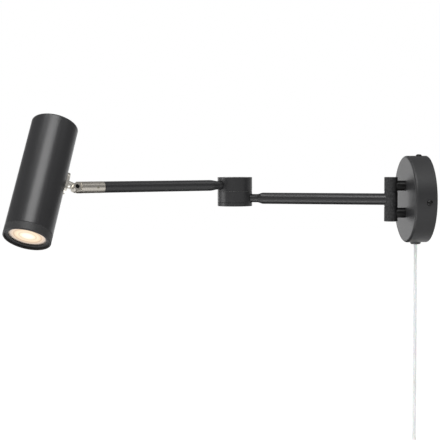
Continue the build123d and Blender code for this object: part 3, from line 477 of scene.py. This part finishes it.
def cord_route():
    """Straight down from the gland, round the coil and down to the plug."""
    crossings = coil_crossings()
    points = [Vector((0, CORD_Y, CORD_EXIT_Z)), crossings[0] + Vector((0, 0, COIL_ENTRY_RUN))]
    heading = Vector((0, 0, -1))
    swell = 1 / math.cos(math.pi / COIL_POINTS_PER_HALF_TURN / 2)
    for start, end in zip(crossings, crossings[1:]):
        middle = (start + end) / 2
        half = (start - end) / 2
        for index in range(COIL_POINTS_PER_HALF_TURN):
            angle = math.pi * (index + 0.5) / COIL_POINTS_PER_HALF_TURN
            reach = half * math.cos(angle) + heading * half.length * math.sin(angle)
            points.append(middle + reach * swell)
        heading = -heading
    points.append(crossings[-1] - Vector((0, 0, COIL_EXIT_RUN)))
    points.append(crossings[-1] - Vector((0, 0, TAIL_LENGTH)))
    return points


def make_cord():
    curve = bpy.data.curves.new("cord", "CURVE")
    curve.dimensions = "3D"
    curve.bevel_depth = CORD_RADIUS
    curve.bevel_resolution = CORD_BEVEL_STEPS
    curve.resolution_u = CORD_CURVE_STEPS
    curve.use_fill_caps = True
    spline = curve.splines.new("NURBS")
    route = cord_route()
    spline.points.add(len(route) - 1)
    for point, place in zip(spline.points, route):
        point.co = (*place, 1)
    spline.order_u = CORD_CURVE_ORDER
    spline.use_endpoint_u = True
    piece = add_piece("cord", curve, "wall_base", "pale_cord")
    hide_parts("mains_cord", "cord_coil", "cord_tail")


def hexagon_radius(flats, angle):
    """Distance from the middle of a hexagon to its edge at an angle."""
    sixth = math.pi / 3
    return flats / 2 / math.cos((angle + sixth / 2) % sixth - sixth / 2)


def screw_rings():
    """Rings of the screw from its tip to the socket's floor: size, height and whether it is a hexagon."""
    socket_floor = SCREW_HEAD_HEIGHT - SCREW_SOCKET_DEPTH
    rings = [(SCREW_SHANK_RADIUS, -SCREW_SHANK_LENGTH, False), (SCREW_SHANK_RADIUS, 0, False)]
    for width, height in SCREW_DOME:
        rings.append((SCREW_HEAD_RADIUS * width, SCREW_HEAD_HEIGHT * height, False))
    for height in (SCREW_HEAD_HEIGHT, socket_floor):
        rings.append((SCREW_SOCKET_FLATS, height, True))
    return rings


def button_screw(mesh, placing):
    """Domed screw head with a hexagon socket, on a plain shank, seated at the placing's origin along +Z."""
    loops = []
    for size, height, is_socket in screw_rings():
        loop = []
        for index in range(SCREW_STEPS):
            angle = 2 * math.pi * index / SCREW_STEPS
            radius = hexagon_radius(size, angle) if is_socket else size
            place = placing @ Vector((radius * math.cos(angle), radius * math.sin(angle), height))
            loop.append(mesh.verts.new(place))
        loops.append(loop)
    for lower, upper in zip(loops, loops[1:]):
        for index in range(SCREW_STEPS):
            after = (index + 1) % SCREW_STEPS
            mesh.faces.new((lower[index], lower[after], upper[after], upper[index]))
    mesh.faces.new(list(reversed(loops[0])))
    mesh.faces.new(loops[-1])


def make_canopy_screws():
    mesh = bmesh.new()
    for degrees in SCREW_ANGLES:
        turn = Matrix.Rotation(math.radians(90 - degrees), 4, "Y")
        place = turn @ Matrix.Translation((0, 0, SCREW_SEAT))
        button_screw(mesh, Matrix.Translation((0, -SCREW_SETBACK, 0)) @ place)
    data = bpy.data.meshes.new("canopy_screw_heads")
    mesh.to_mesh(data)
    mesh.free()
    for polygon in data.polygons:
        polygon.use_smooth = True
    data.set_sharp_from_angle(angle=math.radians(SCREW_SHARP_DEGREES))
    piece = add_piece("canopy_screw_heads", data, "wall_base", "black_oxide")
    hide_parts("canopy_screws")


# Camera, light and stage

def make_camera():
    """Camera through the fitted pixel of the elbow's seam; returns its axes and the seam."""
    azimuth = math.radians(CAMERA_AZIMUTH)
    elevation = math.radians(CAMERA_ELEVATION)
    level = math.cos(elevation)
    back = Vector((math.sin(azimuth) * level, -math.cos(azimuth) * level, math.sin(elevation)))
    roll = Matrix.Rotation(math.radians(CAMERA_ROLL), 3, back)
    right = roll @ Vector((math.cos(azimuth), math.sin(azimuth), 0))
    up = back.cross(right)
    seam = Vector(JOINTS["elbow_swing"]["pos_m"]) + Vector((0, 0, SEAM_HEIGHT))
    middle = FRAME_PIXELS / 2
    across = (SEAM_PIXEL[0] - middle) * SEAM_DEPTH / FOCAL_PIXELS
    above = (middle - SEAM_PIXEL[1]) * SEAM_DEPTH / FOCAL_PIXELS
    data = bpy.data.cameras.new("camera")
    data.sensor_width = SENSOR_WIDTH
    data.lens = FOCAL_PIXELS / FRAME_PIXELS * SENSOR_WIDTH
    camera = add_object("camera", data)
    place = seam - across * right - above * up + SEAM_DEPTH * back
    turn = Matrix((right, up, back)).transposed()
    camera.matrix_world = Matrix.Translation(place) @ turn.to_4x4()
    bpy.context.scene.camera = camera
    return (back, right, up), seam


def step_toward(axes, toward, distance):
    """Vector of a given length along a direction that is given in the camera's axes."""
    direction = Vector()
    for axis, share in zip(axes, toward):
        direction += share * axis
    return direction.normalized() * distance


def make_world(back):
    """White where seen, an even room light, and reflections that dim away from the level behind the part."""
    world = bpy.data.worlds.new("studio")
    bpy.context.scene.world = world
    world.use_nodes = True
    tree = world.node_tree
    path = tree.nodes.new("ShaderNodeLightPath")
    direction = tree.nodes.new("ShaderNodeTexCoord").outputs["Generated"]
    squashed = stretched(tree, direction, (1, 1, ROOM_GLOSS_SQUASH))
    gloss = map_range(tree, distance_from(tree, squashed, -back), ROOM_GLOSS_TURN, ROOM_GLOSS, smooth=True)
    strength = blend_values(tree, path.outputs["Is Glossy Ray"], ROOM_LIGHT, gloss)
    seen = larger(tree, path.outputs["Is Camera Ray"], path.outputs["Is Transmission Ray"])
    strength = blend_values(tree, seen, strength, ROOM_SEEN)
    background = tree.nodes["Background"]
    background.inputs["Color"].default_value = WHITE
    tree.links.new(strength, background.inputs["Strength"])


def matt_sheet(name, corners, tones, roughness):
    """Four-cornered sheet with a plain matt material; returns it with its tree, shader and coordinates."""
    mesh = bpy.data.meshes.new(name)
    mesh.from_pydata(corners, [], [(0, 1, 2, 3)])
    sheet = add_object(name, mesh)
    material, tree, shader, coordinates = new_material(name)
    shade = two_colours(tree, noise(tree, coordinates, STAGE_GRAIN), greys(*tones))
    tree.links.new(shade, shader.inputs["Base Color"])
    shader.inputs["Roughness"].default_value = roughness
    shader.inputs["Specular IOR Level"].default_value = 0.0
    mesh.materials.append(material)
    return sheet, tree, shader, coordinates


def make_floor():
    """Pale matt floor, lifted to white where seen, so that the shadow on it stays."""
    height = CAD_BOX[0].z - FLOOR_DROP
    half = FLOOR_SIZE / 2
    corners = [(-half, -half, height), (half, -half, height), (half, half, height), (-half, half, height)]
    floor, tree, shader, coordinates = matt_sheet("floor", corners, FLOOR_GREYS, FLOOR_ROUGHNESS)
    middle = (CAD_BOX[0] + CAD_BOX[1]) / 2
    reach = distance_from(tree, coordinates, (middle.x, middle.y, height))
    lift = map_range(tree, reach, FLOOR_LIFT_REACH, FLOOR_LIFT, smooth=True)
    path = tree.nodes.new("ShaderNodeLightPath")
    seen = larger(tree, path.outputs["Is Camera Ray"], path.outputs["Is Glossy Ray"])
    seen = larger(tree, seen, path.outputs["Is Transmission Ray"])
    shader.inputs["Emission Color"].default_value = WHITE
    tree.links.new(blend_values(tree, seen, 0.0, lift), shader.inputs["Emission Strength"])


def make_flag(axes, seam):
    """Matt black card that only reflections see, which keeps the lower edges dark."""
    right = axes[1]
    offset = step_toward(axes, FLAG_TOWARD, FLAG_DISTANCE)
    across = right * FLAG_SIZE[0] / 2
    along = offset.cross(right).normalized() * FLAG_SIZE[1] / 2
    centre = seam + offset
    near = centre - along
    far = centre + along
    corners = [near - across, near + across, far + across, far - across]
    flag = matt_sheet("flag", corners, FLAG_GREYS, FLAG_ROUGHNESS)[0]
    flag.visible_camera = False
    flag.visible_diffuse = False
    flag.visible_shadow = False
    flag.visible_transmission = False


def make_lights(axes, seam):
    for name, (toward, distance, size, radiance) in LAMPS.items():
        offset = step_toward(axes, toward, distance)
        data = bpy.data.lights.new(name, "AREA")
        data.shape = "RECTANGLE"
        data.size, data.size_y = size
        data.energy = radiance * math.pi * size[0] * size[1]
        lamp = add_object(name, data)
        lamp.location = seam + offset
        lamp.rotation_mode = "QUATERNION"
        lamp.rotation_quaternion = (-offset).to_track_quat("-Z", "Y")
        lamp.visible_camera = False


dress_nodes()
camera_axes, seam = make_camera()
make_world(camera_axes[0])
make_floor()
make_flag(camera_axes, seam)
make_lights(camera_axes, seam)
make_cord()
make_canopy_screws()
bpy.context.scene.view_settings.view_transform = "Standard"
